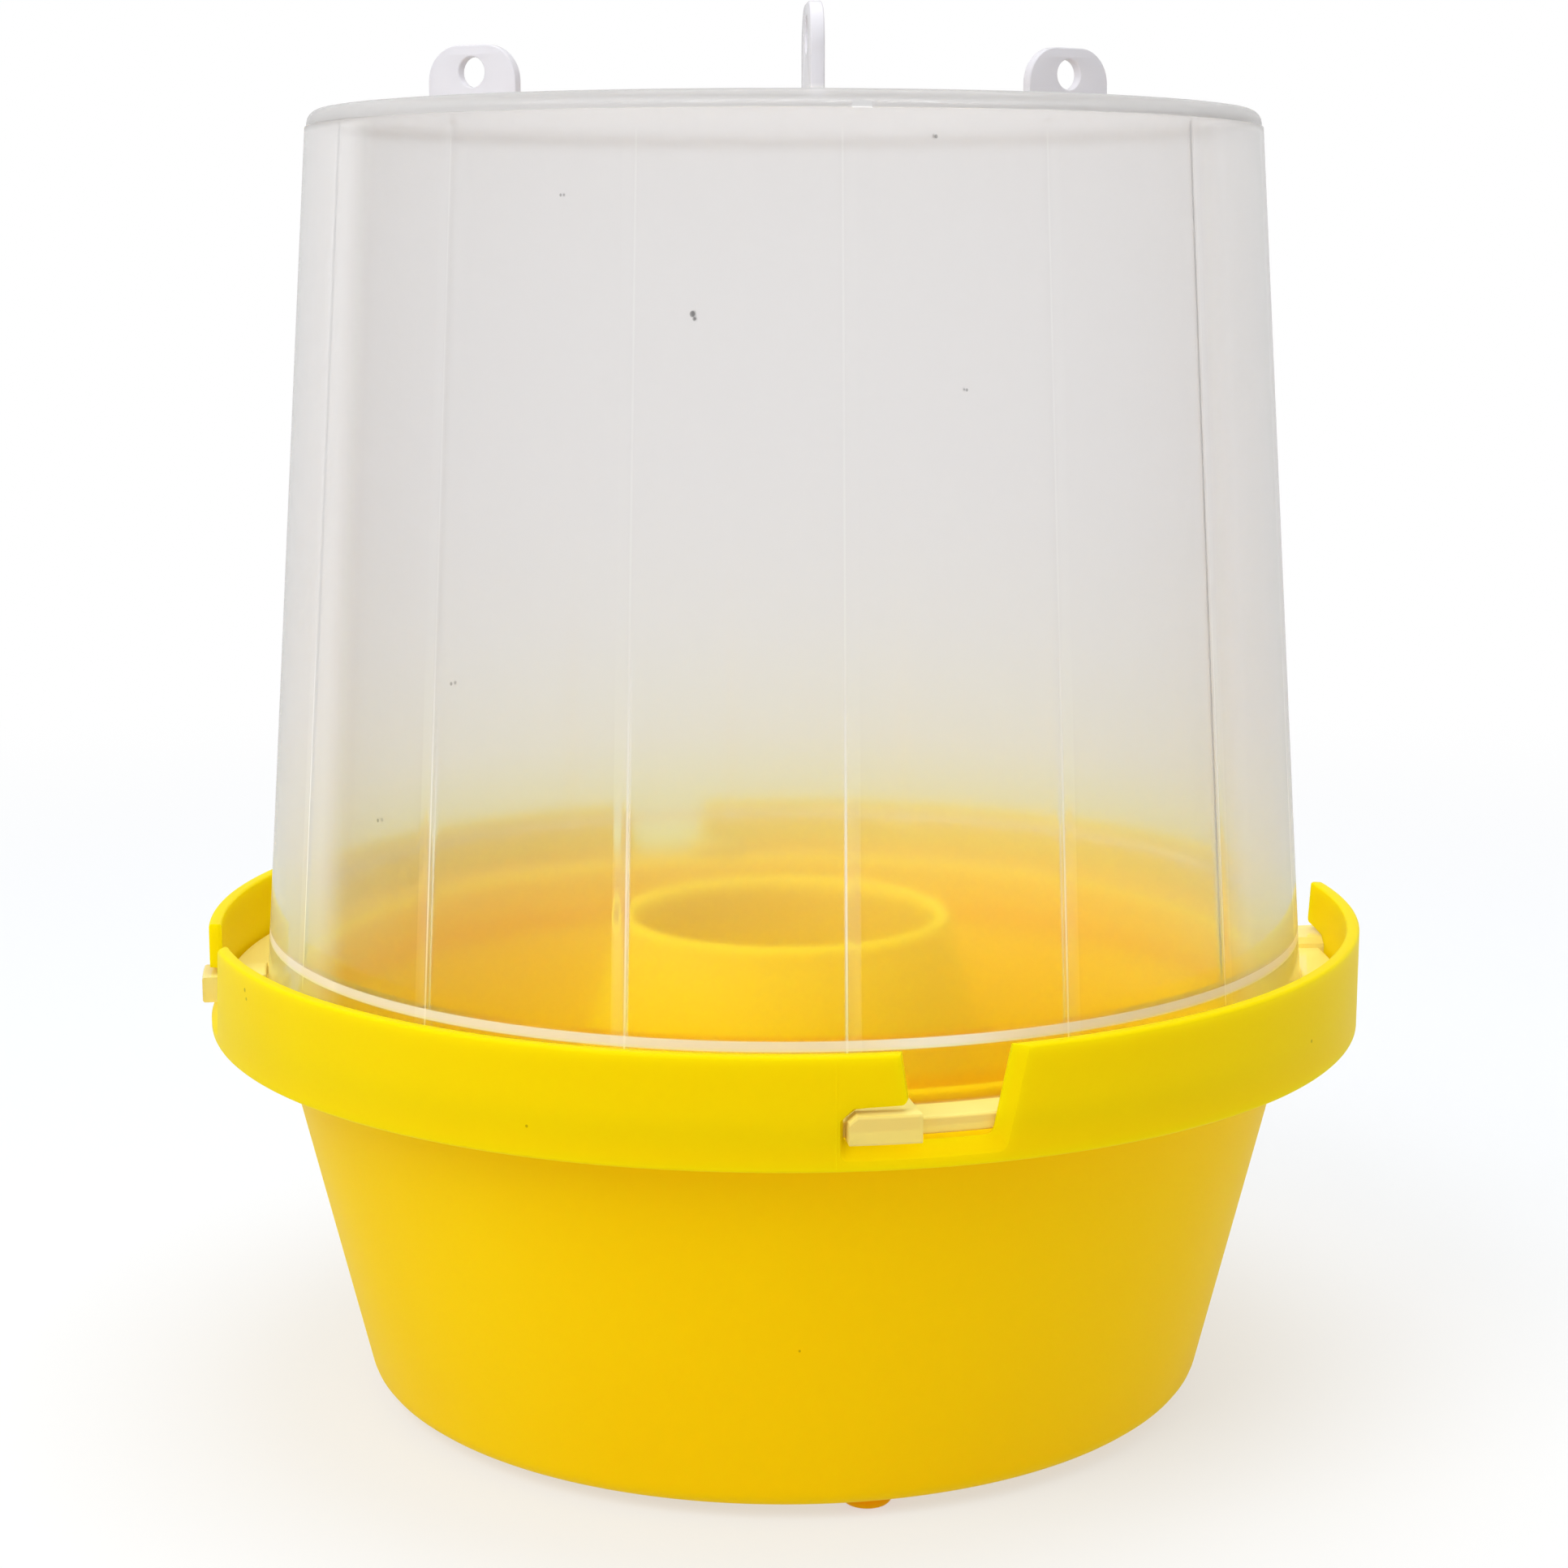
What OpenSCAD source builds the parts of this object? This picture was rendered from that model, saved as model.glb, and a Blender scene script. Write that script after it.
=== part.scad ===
// Bell-shaped wasp trap: a yellow base with an entrance funnel in its middle, and a clear lid.
// The lid drops onto the base and turns, which brings its four lugs under the lips of the
// base's bayonet slots. Liquid bait goes in the ring-shaped trough round the funnel.
//
// Millimetres, +Z up. The origin is on the central axis, at the level of the feet's undersides.
// Heights are measured from the bowl's underside, which the feet hold foot_h above the origin.
// Angles are measured round the axis from the front (-Y) towards the right (+X).

/* [Bowl] */
// Outer radius of the bowl's side, carried down to its underside
bowl_r = 64.4; // [62:0.1:67]
// Outer radius of the bowl's side where it meets the collar
bowl_top_r = 77.6; // [77:0.1:78]
// Height of the bowl's side, from its underside to the underside of the collar
bowl_h = 55.7; // [50:0.1:60]
// Radius of the rounded corner round the bowl's underside
bowl_corner_r = 3; // [2:0.1:5]
// Thickness of the base's walls
wall = 1.9; // [1.5:0.1:2.2]
// Outer radius of the rim that stands up inside the lid
rim_r = 75.9; // [75.5:0.1:75.9]
// Height of that rim above the underside of the collar
rim_h = 6.8; // [4:0.1:9]

/* [Entrance funnel] */
// Radius of the hole at the funnel's top
hole_r = 23.3; // [18:0.1:28]
// Inner radius of the funnel's mouth, in the bowl's underside
mouth_r = 42.8; // [36:0.1:46]
// Height of the funnel
funnel_h = 69.8; // [55:0.1:80]
// Radius of the bead round the hole
bead_r = 1.2; // [1:0.1:1.6]

/* [Locking collar] */
// Outer radius of the collar
collar_r = 87.5; // [87.2:0.1:88]
// Height of the collar
collar_h = 15.2; // [13:0.1:18]

/* [Bayonet slots] */
// Number of bayonet slots and of lugs
slot_count = 4; // [2:1:6]
// Angle of the closed end of a slot
slot_end_a = 4.95; // [4:0.05:5]
// Angle of the lip's edge at the collar's top
lip_top_a = 9.9; // [9:0.1:10.5]
// Angle of the lip's edge at the lip's underside
lip_low_a = 10.6; // [10:0.1:11]
// Angle of the open side of a slot at the collar's top
open_top_a = 19.8; // [19:0.1:22]
// Angle of the open side of a slot at its floor
open_low_a = 18.1; // [18:0.1:18.5]
// How much higher the lip's underside is at the slot's opening than at its closed end
lip_rise = 0.7; // [0:0.1:1]

/* [Feet] */
// Number of feet under the bowl
foot_count = 4; // [3:1:6]
// Diameter of a foot
foot_d = 7.3; // [6:0.1:9]
// Height of a foot
foot_h = 2; // [1.5:0.1:3]
// Radius of the circle that the feet stand on
foot_circle_r = 58; // [54:0.1:58]
// Angle of the first foot
foot_a = 11.5; // [0:0.5:89]

/* [Lid] */
// Outer radius of the lid's side, carried down to the collar's top
lid_r = 78.4; // [78.2:0.1:78.6]
// Outer radius of the lid's side, carried up to its flat top
lid_top_r = 69.7; // [66:0.1:74]
// Height of the lid's flat top
lid_top = 190; // [150:0.5:210]
// Radius of the rounded corner round the lid's top
lid_corner_r = 3; // [2:0.1:5]
// Thickness of the lid's walls
lid_wall = 1.4; // [1:0.1:1.8]
// Inner radius of the thicker skirt that fits round the base's rim
skirt_r = 76.2; // [76.2:0.1:76.4]
// Height of the top of that skirt
skirt_top = 68.8; // [66:0.1:72]
// Outer radius of the lid's flange
flange_r = 85.1; // [84:0.1:85.2]
// Thickness of the flange
flange_t = 2.3; // [1.5:0.1:3]

/* [Ribs] */
// Number of shallow ribs down the inside of the lid
rib_count = 16; // [8:1:24]
// Width of a rib
rib_w = 1.9; // [1:0.1:3]
// Depth of a rib
rib_depth = 0.45; // [0.3:0.05:0.8]
// Angle of the first rib
rib_a = 6.6; // [0:0.1:22]

/* [Lugs] */
// Angle of a lug's leading edge, next to the slot's closed end
lug_a = 5.2; // [5.2:0.1:5.5]
// Width of a lug, as an angle
lug_span = 6.3; // [5:0.1:6.3]
// Outer radius of a lug
lug_r = 88.8; // [88.2:0.1:90]
// Height of a lug
lug_h = 3.8; // [3:0.1:4]

/* [Hanging ears] */
// Number of ears on the lid's top
ear_count = 3; // [2:1:4]
// Angle of the first ear
ear_a = 4; // [0:0.5:90]
// Distance of an ear's middle from the axis
ear_circle_r = 53.4; // [45:0.2:55]
// Width of an ear
ear_w = 15.8; // [14:0.2:17]
// Height of an ear
ear_h = 11.5; // [11:0.5:16]
// Radius of an ear's two round corners
ear_corner_r = 5.5; // [3:0.5:5.5]
// Thickness of an ear
ear_t = 1.8; // [1.5:0.1:2.5]
// Diameter of the hole for the hanging wire
ear_hole_d = 4.6; // [3:0.1:5]
// Height of that hole's middle above the lid's top
ear_hole_h = 7.4; // [6.5:0.1:7.5]

/* [Hidden] */
$fn = 128;

fit_gap = 0.3;  // clearance between the lid and the base
join = 0.4;     // how far one shape reaches into another that it is fused with
yellow = [0.97, 0.80, 0.02];
milky = [0.93, 0.93, 0.92, 0.45];

collar_top = bowl_h + collar_h;
shelf_top = bowl_h + wall;
lug_low = bowl_h + wall + 1.9;         // underside of the lugs and of the flange
flange_top = lug_low + flange_t;
lug_top = lug_low + lug_h;
slot_floor = lug_low - fit_gap;
lip_low = lug_top + fit_gap;           // the lip's underside at the slot's closed end
slot_a = (slot_end_a + open_top_a) / 2;

bowl_slope = (bowl_top_r - bowl_r) / bowl_h;
lid_slope = (lid_top_r - lid_r) / (lid_top - collar_top);
funnel_slope = (hole_r - mouth_r) / funnel_h;

function bowl_out(z) = bowl_r + bowl_slope * z;
function lid_out(z) = lid_r + lid_slope * (z - collar_top);
function lid_in(z) = lid_out(z) - lid_wall;
function funnel_in(z) = mouth_r + funnel_slope * z;
function funnel_out(z) = funnel_in(z) + wall;
// distance, level with the centre of a corner's arc, from that centre to the sloping side
function corner_reach(r, slope) = r * sqrt(1 + slope * slope);

module above_feet() {
  translate([0, 0, foot_h]) children();
}

// turns a shape that points along +X to an angle measured from the front
module facing(a) {
  rotate([0, 0, a - 90]) children();
}

module all_round(count, first) {
  for (i = [0 : count - 1]) facing(first + i * 360 / count) children();
}

// ---- base ----

// the bowl's side, floor and rounded corner, as one closed outline
module bowl_outline() {
  corner_x = bowl_out(bowl_corner_r) - corner_reach(bowl_corner_r, bowl_slope);
  tangent = bowl_corner_r / sqrt(1 + bowl_slope * bowl_slope);
  touch_x = corner_x + tangent;
  touch_z = bowl_corner_r - tangent * bowl_slope;
  polygon([
    [funnel_out(0), 0],
    [corner_x, 0],
    [touch_x, touch_z],
    [bowl_out(shelf_top), shelf_top],
    [rim_r, shelf_top],
    [rim_r, bowl_h + rim_h],
    [rim_r - wall, bowl_h + rim_h],
    [rim_r - wall, bowl_h],
    [bowl_out(bowl_h - 2 * wall) - wall, bowl_h - 2 * wall],
    [bowl_out(wall) - wall, wall],
    [funnel_out(wall), wall]
  ]);
  translate([corner_x, bowl_corner_r]) circle(r = bowl_corner_r);
}

module base_bowl() {
  color(yellow) above_feet() rotate_extrude() bowl_outline();
}

// the entrance: open below, and narrowing to the hole that the wasps crawl up through
module entrance_funnel() {
  neck = funnel_h - bead_r;
  color(yellow) above_feet() rotate_extrude() {
    polygon([
      [funnel_in(0), 0],
      [funnel_out(0), 0],
      [funnel_out(neck), neck],
      [funnel_in(neck), neck]
    ]);
    translate([hole_r + bead_r, neck]) circle(r = bead_r);
  }
}

// one bayonet slot, cut along the radius through its middle
module slot_cutter() {
  reach = collar_r + 4;
  near = collar_r - 2 * wall;
  function across(a) = collar_r * sin(a - slot_a);
  facing(slot_a) translate([near, 0, 0]) rotate([90, 0, 90]) linear_extrude(reach - near) polygon([
    [across(lip_top_a), collar_top + 1],
    [across(lip_low_a), lip_low + lip_rise],
    [across(slot_end_a), lip_low],
    [across(slot_end_a), slot_floor],
    [across(open_low_a), slot_floor],
    [across(open_top_a), collar_top + 1]
  ]);
}

// the upright band with the slots in it, and the shelf that joins it to the bowl
module locking_collar() {
  color(yellow) above_feet() difference() {
    rotate_extrude() polygon([
      [bowl_out(bowl_h), bowl_h],
      [collar_r, bowl_h],
      [collar_r, collar_top],
      [collar_r - wall, collar_top],
      [collar_r - wall, shelf_top],
      [bowl_out(shelf_top), shelf_top]
    ]);
    for (i = [0 : slot_count - 1]) rotate([0, 0, i * 360 / slot_count]) slot_cutter();
  }
}

module feet() {
  bevel = 0.8;
  color(yellow) all_round(foot_count, foot_a) translate([foot_circle_r, 0, 0]) {
    cylinder(h = bevel, r1 = foot_d / 2 - bevel, r2 = foot_d / 2);
    translate([0, 0, bevel]) cylinder(h = foot_h - bevel, d = foot_d);
  }
}

// ---- lid ----

// half of the lid's wall: the skirt, the step above it, the side and the flat top
module lid_outline() {
  low = shelf_top + fit_gap;
  step_top = skirt_top + 2;
  corner_z = lid_top - lid_corner_r;
  corner_x = lid_out(corner_z) - corner_reach(lid_corner_r, lid_slope);
  tangent = lid_corner_r / sqrt(1 + lid_slope * lid_slope);
  touch_x = corner_x + tangent;
  touch_z = corner_z - tangent * lid_slope;
  difference() {
    union() {
      polygon([[0, low], [lid_out(low), low], [touch_x, touch_z], [corner_x, lid_top], [0, lid_top]]);
      translate([corner_x, corner_z]) circle(r = lid_corner_r);
    }
    polygon([
      [-1, low - 1],
      [skirt_r, low - 1],
      [skirt_r, skirt_top],
      [lid_in(step_top), step_top],
      [lid_in(corner_z), corner_z],
      [corner_x, lid_top - lid_wall],
      [-1, lid_top - lid_wall]
    ]);
    translate([-lid_r, 0]) square([lid_r, lid_top + 1]);
  }
}

// a shallow rib down the inside of the side, from the step to just under the top
module lid_rib() {
  low = skirt_top + 1;
  high = lid_top - lid_corner_r - 1;
  span = rib_w / lid_r * 180 / PI;
  rotate([0, 0, -span / 2]) rotate_extrude(angle = span) polygon([
    [lid_in(low) + join, low],
    [lid_in(high) + join, high],
    [lid_in(high) - rib_depth, high],
    [lid_in(low) - rib_depth, low]
  ]);
}

module lid_dome() {
  color(milky) above_feet() {
    rotate_extrude() lid_outline();
    all_round(rib_count, rib_a) lid_rib();
  }
}

module lid_flange() {
  color(milky) above_feet() rotate_extrude() polygon([
    [lid_out(lug_low), lug_low],
    [flange_r, lug_low],
    [flange_r, flange_top],
    [lid_out(flange_top), flange_top]
  ]);
}

// thick tabs that stand on the flange and reach out through the collar's slots
module locking_lugs() {
  color(milky) above_feet() all_round(slot_count, lug_a) rotate_extrude(angle = lug_span) polygon([
    [flange_r, lug_low],
    [lug_r, lug_low],
    [lug_r, lug_top],
    [lid_out(lug_top), lug_top],
    [lid_out(flange_top), flange_top],
    [flange_r, flange_top]
  ]);
}

// upright plates in line with the radius, each with a hole for the hanging wire
module hanging_ears() {
  shoulder = ear_h - ear_corner_r;
  corner = ear_w / 2 - ear_corner_r;
  color(milky) above_feet() all_round(ear_count, ear_a) translate([ear_circle_r, 0, lid_top])
    rotate([90, 0, 0]) difference() {
      linear_extrude(ear_t, center = true) union() {
        translate([-ear_w / 2, 0]) square([ear_w, shoulder]);
        translate([-corner, 0]) square([2 * corner, ear_h]);
        for (side = [-1, 1]) translate([side * corner, shoulder]) circle(r = ear_corner_r);
      }
      translate([0, ear_hole_h]) cylinder(h = 2 * ear_t, d = ear_hole_d, center = true);
    }
}

base_bowl();
entrance_funnel();
locking_collar();
feet();
lid_dome();
lid_flange();
locking_lugs();
hanging_ears();
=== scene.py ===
"""Wasp trap: a yellow base with an entrance funnel, under a milky see-through lid that twists on.

Lengths are millimetres, heights are above the bowl's underside, and angles are degrees round the
axis from the front (-Y) towards the right (+X). on_circle() turns them into the frame's own
units, and places() does the reverse for the materials. Floor, lamps and camera are in metres.
"""

import math

import bmesh
import bpy
from mathutils import Matrix, Vector


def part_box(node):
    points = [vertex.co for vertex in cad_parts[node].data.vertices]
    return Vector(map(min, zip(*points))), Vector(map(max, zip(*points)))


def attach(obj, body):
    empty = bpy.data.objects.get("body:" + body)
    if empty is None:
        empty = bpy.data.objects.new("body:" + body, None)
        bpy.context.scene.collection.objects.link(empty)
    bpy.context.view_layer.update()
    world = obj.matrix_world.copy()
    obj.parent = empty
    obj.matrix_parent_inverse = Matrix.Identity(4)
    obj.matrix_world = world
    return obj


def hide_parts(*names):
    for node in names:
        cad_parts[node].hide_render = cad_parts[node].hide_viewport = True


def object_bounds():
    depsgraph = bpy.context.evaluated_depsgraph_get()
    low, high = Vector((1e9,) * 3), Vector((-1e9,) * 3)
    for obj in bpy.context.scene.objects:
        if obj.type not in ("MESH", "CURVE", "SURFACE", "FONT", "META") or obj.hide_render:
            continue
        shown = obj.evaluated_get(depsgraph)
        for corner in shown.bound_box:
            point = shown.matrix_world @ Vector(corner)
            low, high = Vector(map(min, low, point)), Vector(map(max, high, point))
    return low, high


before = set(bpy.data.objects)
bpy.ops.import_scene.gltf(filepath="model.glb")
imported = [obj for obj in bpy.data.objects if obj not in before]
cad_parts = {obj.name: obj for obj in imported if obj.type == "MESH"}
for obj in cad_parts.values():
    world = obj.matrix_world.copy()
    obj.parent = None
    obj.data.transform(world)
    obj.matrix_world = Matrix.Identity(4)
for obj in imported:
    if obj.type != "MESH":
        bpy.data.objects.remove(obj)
cad_low, cad_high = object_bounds()

MM = 0.001

# ---- heights and radii read from the frame, in millimetres ----


def outer_radius(node):
    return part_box(node)[1].x / MM


def lowest(node):
    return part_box(node)[0].z / MM - FOOT_H


def highest(node):
    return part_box(node)[1].z / MM - FOOT_H


FOOT_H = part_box("feet")[1].z / MM
COLLAR_R = outer_radius("locking_collar")
COLLAR_LOW, COLLAR_TOP = lowest("locking_collar"), highest("locking_collar")
FUNNEL_H = highest("entrance_funnel")
RIM_TOP = highest("base_bowl")
LID_LOW, LID_TOP = lowest("lid_dome"), highest("lid_dome")
FLANGE_R = outer_radius("lid_flange")
FLANGE_LOW, FLANGE_TOP = lowest("lid_flange"), highest("lid_flange")
LUG_TOP = highest("locking_lugs")
EAR_TOP = highest("hanging_ears")

# ---- the CAD model's other driving sizes, in millimetres and degrees ----

WALL = 1.9
BOWL_R, BOWL_TOP_R = 64.4, 77.6
RIM_R = 75.9
HOLE_R, MOUTH_R = 23.3, 42.8
LID_R, LID_TOP_R, LID_WALL, LID_CORNER_R = 78.4, 69.7, 1.4, 3.0
SKIRT_R, SKIRT_TOP = 76.2, 68.8
LUG_R, LUG_A, LUG_SPAN = 88.7, 5.2, 6.3
SLOT_COUNT, SLOT_END_A = 4, 4.95
LIP_TOP_A, LIP_LOW_A, LIP_RISE = 9.9, 10.6, 0.7
OPEN_TOP_A, OPEN_LOW_A = 19.8, 18.1
RIB_COUNT, RIB_W, RIB_A = 16, 1.9, 6.6
EAR_COUNT, EAR_A, EAR_CIRCLE_R = 3, 4.0, 53.4
EAR_W, EAR_CORNER_R, EAR_T, EAR_HOLE_R, EAR_HOLE_H = 15.8, 5.5, 1.8, 2.3, 7.4
FOOT_COUNT, FOOT_A, FOOT_CIRCLE_R, FOOT_R = 4, 11.5, 58.0, 3.6

FIT_GAP = 0.3  # clearance between the lid and the base

SHELF_TOP = COLLAR_LOW + WALL
SLOT_FLOOR = FLANGE_LOW - FIT_GAP
LIP_LOW = LUG_TOP + FIT_GAP
PER_DEGREE = math.pi * COLLAR_R / 180  # length of one degree along the collar's outside
SLOT_PITCH = 360 / SLOT_COUNT
RIB_PITCH = 360 / RIB_COUNT
RIB_HALF = RIB_W / LID_R * 90 / math.pi  # half of a rib's width, in degrees


def bowl_out(z):
    return BOWL_R + (BOWL_TOP_R - BOWL_R) * z / COLLAR_LOW


def funnel_out(z):
    return MOUTH_R + (HOLE_R - MOUTH_R) * z / FUNNEL_H + WALL


def lid_out(z):
    return LID_R + (LID_TOP_R - LID_R) * (z - COLLAR_TOP) / (LID_TOP - COLLAR_TOP)


def lid_in(z):
    return lid_out(z) - LID_WALL


# ---- mesh helpers ----

SAME_POINT = 0.0001             # points of a new mesh that are nearer than this are one point
WELD_GAP = 0.02                 # and so are points nearer than this, after the base's booleans
BASE_SHARP, LID_SHARP = 20, 25  # edges that turn by more degrees than this stay hard


def on_circle(r, a, z):
    """A point in metres: r from the axis, at angle a, z above the bowl's underside."""
    t = math.radians(a)
    return Vector((r * math.sin(t) * MM, -r * math.cos(t) * MM, (z + FOOT_H) * MM))


def rounded(corners, steps=5):
    """The points of a closed outline whose corners (x, y, fillet radius) become arcs."""
    points = []
    for i, (x, y, r) in enumerate(corners):
        here = Vector((x, y))
        if r == 0:
            points.append((x, y))
            continue
        before = (Vector(corners[i - 1][:2]) - here).normalized()
        after = (Vector(corners[(i + 1) % len(corners)][:2]) - here).normalized()
        half = before.angle(after) / 2
        centre = here + (before + after).normalized() * (r / math.sin(half))
        start = here + before * (r / math.tan(half)) - centre
        end = here + after * (r / math.tan(half)) - centre
        turn = math.atan2(start.cross(end), start.dot(end))
        for k in range(steps + 1):
            spoke = Matrix.Rotation(turn * k / steps, 2) @ start
            points.append((centre.x + spoke.x, centre.y + spoke.y))
    return points


def held(points, gap=0.6):
    """Adds a point near both ends of every long stretch of a closed outline, so that smooth
    shading bends only at the fillets and the long faces stay true."""
    finer = []
    for i, here in enumerate(points):
        beyond = points[(i + 1) % len(points)]
        finer.append(here)
        length = math.dist(here, beyond)
        along_axis = here[0] == 0 and beyond[0] == 0
        if length > 3 * gap and not along_axis:
            for share in (gap / length, 1 - gap / length):
                x = here[0] + (beyond[0] - here[0]) * share
                y = here[1] + (beyond[1] - here[1]) * share
                finer.append((x, y))
    return finer


def smooth_by_angle(obj, sharp_deg):
    """Smooth shading, with a hard edge wherever two faces meet at more than sharp_deg."""
    bm = bmesh.new()
    bm.from_mesh(obj.data)
    for face in bm.faces:
        face.smooth = True
    for edge in bm.edges:
        edge.smooth = edge.calc_face_angle(math.pi) < math.radians(sharp_deg)
    bm.to_mesh(obj.data)
    bm.free()


def mesh_object(name, bm):
    """Turns a bmesh into an object whose faces look outwards."""
    bmesh.ops.remove_doubles(bm, verts=bm.verts, dist=SAME_POINT * MM)
    bmesh.ops.recalc_face_normals(bm, faces=bm.faces)
    mesh = bpy.data.meshes.new(name)
    bm.to_mesh(mesh)
    bm.free()
    obj = bpy.data.objects.new(name, mesh)
    bpy.context.scene.collection.objects.link(obj)
    return obj


def revolve(name, outline, angles, warp=None):
    """Revolves a closed outline of (radius, height). warp(r, z, a) may move each point of it.
    A point at radius 0 becomes a pole, and no faces are made along the axis."""
    bm = bmesh.new()
    poles = {k: bm.verts.new(on_circle(0, 0, z)) for k, (r, z) in enumerate(outline) if r == 0}
    rings = []
    for a in angles:
        ring = []
        for k, (r, z) in enumerate(outline):
            if k in poles:
                ring.append(poles[k])
                continue
            place = warp(r, z, a) if warp else (r, z)
            ring.append(bm.verts.new(on_circle(place[0], a, place[1])))
        rings.append(ring)
    for i, ring in enumerate(rings):
        beyond = rings[(i + 1) % len(rings)]
        for k in range(len(outline)):
            m = (k + 1) % len(outline)
            corners = [ring[k], ring[m], beyond[m], beyond[k]]
            distinct = list(dict.fromkeys(corners))
            if len(distinct) > 2:
                bm.faces.new(distinct)
    return mesh_object(name, bm)


def ramp(value, start, end):
    """0 up to start, 1 from end on, and straight between."""
    return min(1, max(0, (value - start) / (end - start)))


def bump(a, low, high, side):
    """1 between two angles, falling to 0 within side degrees outside them."""
    return ramp(a, low - side, low) * (1 - ramp(a, high, high + side))


def boolean(obj, other, operation):
    """Cuts other out of obj, or joins it on, and removes other."""
    modifier = obj.modifiers.new("shape", "BOOLEAN")
    modifier.operation = operation
    modifier.solver = "EXACT"
    modifier.object = other
    depsgraph = bpy.context.evaluated_depsgraph_get()
    result = bpy.data.meshes.new_from_object(obj.evaluated_get(depsgraph))
    obj.modifiers.clear()
    obj.data = result
    bpy.data.objects.remove(other)


def weld(obj):
    """Closes up the slivers that a boolean leaves along its cuts."""
    bm = bmesh.new()
    bm.from_mesh(obj.data)
    bmesh.ops.remove_doubles(bm, verts=bm.verts, dist=WELD_GAP * MM)
    bmesh.ops.dissolve_degenerate(bm, dist=WELD_GAP / 2 * MM, edges=bm.edges)
    bm.to_mesh(obj.data)
    bm.free()


# ---- base: bowl, trough, funnel and collar in one moulding ----

BASE_STEP = 1.0                       # degrees between the base's columns of faces
SEAM_A, SEAM_W, SEAM_RAISE = 4.35, 0.15, 0.06  # a thin parting line up the collar's front
BEAD_W, BEAD_H, BEAD_FILLET = 2.4, 2.2, 1.1    # the thickened edge round the entrance hole
BEAD_UNDERCUT = 0.1                   # how much lower the bead reaches on the inside

# the bevel round a slot: its depth in the wall, how far it reaches along the outside at the
# slot's floor, and the shares of that reach at the lip and at the open side
BEVEL_DEPTH, BEVEL_REACH = 1.3, 2.0
BEVEL_LIP_SHARE, BEVEL_OPEN_SHARE = 0.25, 0.65
SLOT_NOTCH_W, SLOT_NOTCH_H = 1.6, 1.2  # the slope across the closed end's upper corner
CUT_INSIDE, CUT_OUTSIDE, CUT_ABOVE = 4.5, 3, 3  # how far a cutter reaches past the collar
FOOT_SUNK, FOOT_FILLET = 0.6, 1.0      # its depth in the bowl's floor, and its rounded edge


def base_warp(r, z, a):
    """Raises the parting line on the collar's outside."""
    if r > COLLAR_R - 0.01:
        r += SEAM_RAISE * bump(a, SEAM_A, SEAM_A, SEAM_W)
    return r, z


def base_body():
    outline = held(rounded([
        (MOUTH_R, 0, 0.9),
        (BOWL_R, 0, 3.0),
        (BOWL_TOP_R, COLLAR_LOW, 0.6),
        (COLLAR_R, COLLAR_LOW, 0.5),
        (COLLAR_R, COLLAR_TOP, 0.5),
        (COLLAR_R - WALL, COLLAR_TOP, 0.4),
        (COLLAR_R - WALL, SHELF_TOP, 0.8),
        (RIM_R, SHELF_TOP, 0.4),
        (RIM_R, RIM_TOP, 0.5),
        (RIM_R - WALL, RIM_TOP, 0.5),
        (RIM_R - WALL, COLLAR_LOW, 2.0),
        (bowl_out(COLLAR_LOW - 2 * WALL) - WALL, COLLAR_LOW - 2 * WALL, 2.0),
        (bowl_out(WALL) - WALL, WALL, 2.2),
        (funnel_out(WALL), WALL, 2.2),
        (funnel_out(FUNNEL_H - BEAD_H), FUNNEL_H - BEAD_H, 0.5),
        (HOLE_R + BEAD_W, FUNNEL_H, BEAD_FILLET),
        (HOLE_R, FUNNEL_H, BEAD_FILLET),
        (HOLE_R, FUNNEL_H - BEAD_H - BEAD_UNDERCUT, 0.8),
    ]))
    angles = {BASE_STEP * k for k in range(round(360 / BASE_STEP))}
    angles.update((SEAM_A - SEAM_W, SEAM_A, SEAM_A + SEAM_W))
    return revolve("base", outline, sorted(angles), base_warp)


def slot_outline(reach):
    """A bayonet slot's outline as (angle, height), grown by reach at its floor and less above."""
    over = COLLAR_TOP + CUT_ABOVE
    lip = BEVEL_LIP_SHARE * reach
    lean_left = (LIP_TOP_A - LIP_LOW_A) / (COLLAR_TOP - LIP_LOW) * PER_DEGREE
    lean_right = (OPEN_TOP_A - OPEN_LOW_A) / (COLLAR_TOP - SLOT_FLOOR) * PER_DEGREE
    left = LIP_LOW_A * PER_DEGREE - lip
    right = OPEN_LOW_A * PER_DEGREE + BEVEL_OPEN_SHARE * reach
    end = SLOT_END_A * PER_DEGREE - lip
    floor = SLOT_FLOOR - reach
    points = rounded([
        (left + lean_left * (over - LIP_LOW), over, 0),
        (left, LIP_LOW + LIP_RISE, 0.7),
        (end + SLOT_NOTCH_W, LIP_LOW + lip, 0.6),
        (end, LIP_LOW - SLOT_NOTCH_H, 0.6),
        (end, floor, 1.0),
        (right, floor, 1.4),
        (right + lean_right * (over - floor), over, 0),
    ])
    # every stretch is cut in pieces, so that the long ones follow the collar's curve
    pieces = 4
    fine = []
    for here, beyond in zip(points, points[1:] + points[:1]):
        for k in range(pieces):
            fine.append(Vector(here).lerp(Vector(beyond), k / pieces))
    return [(x / PER_DEGREE, z) for x, z in fine]


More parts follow.
